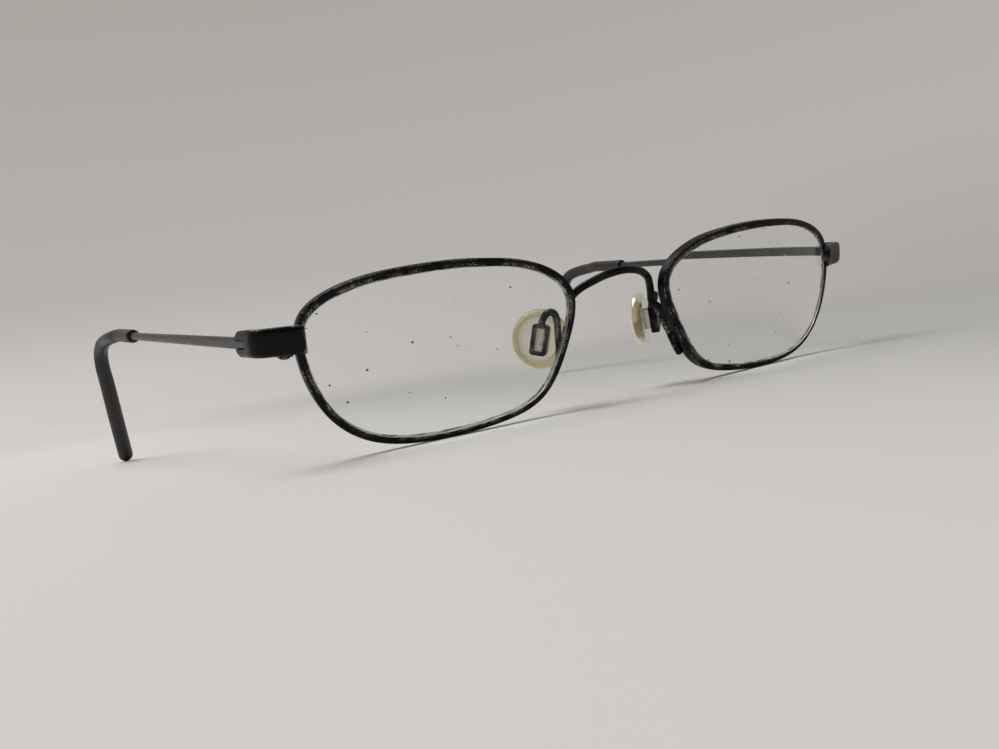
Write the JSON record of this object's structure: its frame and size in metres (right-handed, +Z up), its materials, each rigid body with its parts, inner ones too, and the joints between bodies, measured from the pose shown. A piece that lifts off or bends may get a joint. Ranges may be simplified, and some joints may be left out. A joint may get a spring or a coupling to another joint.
{
  "type": "eyeglasses",
  "caption": "Full-rim metal eyeglasses with a wire bridge, round soft nose pads on wire arms, screw-closed rims, folding temples and hooked ear tips.",
  "frame": {"origin": "on the surface the pair rests on, below the middle of its bounding box", "axes": "+X to the wearer's left, +Y from the lenses back to the ears, +Z up"},
  "size_m": [0.1456, 0.145, 0.0329],
  "materials": {
    "black_metal": "semi-gloss black lacquer",
    "gunmetal": "dark grey satin lacquer",
    "tip": "black acetate, satin",
    "lens": "clear polished lens resin",
    "screw": "dark steel",
    "stem": "clear moulded plug",
    "pad": "clear silicone yellowed by age"
  },
  "bodies": {
    "front": {"bridge_wire": "black_metal", "left_rim": "black_metal", "right_rim": "black_metal", "left_lens": "lens", "right_lens": "lens", "left_lock_upper": "black_metal", "right_lock_upper": "black_metal", "left_lock_lower": "black_metal", "right_lock_lower": "black_metal", "left_lock_screw": "screw", "right_lock_screw": "screw", "left_endpiece": "black_metal", "right_endpiece": "black_metal", "left_hinge_front": "black_metal", "right_hinge_front": "black_metal", "left_pad_arm": "black_metal", "right_pad_arm": "black_metal", "left_pad_box": "black_metal", "right_pad_box": "black_metal"},
    "left_temple": {"left_hinge_rear": "black_metal", "left_hinge_screw": "screw", "left_temple_paddle": "black_metal", "left_temple_bar": "gunmetal", "left_temple_tip": "tip"},
    "right_temple": {"right_hinge_rear": "black_metal", "right_hinge_screw": "screw", "right_temple_paddle": "black_metal", "right_temple_bar": "gunmetal", "right_temple_tip": "tip"},
    "left_pad": {"left_pad_stem": "stem", "left_nose_pad": "pad"},
    "right_pad": {"right_pad_stem": "stem", "right_nose_pad": "pad"}
  },
  "joints": [
    {"name": "left_temple_fold", "type": "hinge", "parent": "front", "child": "left_temple", "pos_m": [0.06153, -0.06154, 0.01996], "axis": [0, -0.2087, 0.978], "range_deg": [0, 80]},
    {"name": "right_temple_fold", "type": "hinge", "parent": "front", "child": "right_temple", "pos_m": [-0.06153, -0.06154, 0.01996], "axis": [0, 0.2087, -0.978], "range_deg": [0, 86]},
    {"name": "left_pad_rock", "type": "hinge", "parent": "front", "child": "left_pad", "pos_m": [0.01356, -0.06068, 0.01324], "axis": [-0.2008, -0.2564, 0.9455], "range_deg": [-8, 8]},
    {"name": "right_pad_rock", "type": "hinge", "parent": "front", "child": "right_pad", "pos_m": [-0.01356, -0.06068, 0.01324], "axis": [-0.2008, 0.2564, -0.9455], "range_deg": [-8, 8]}
  ]
}
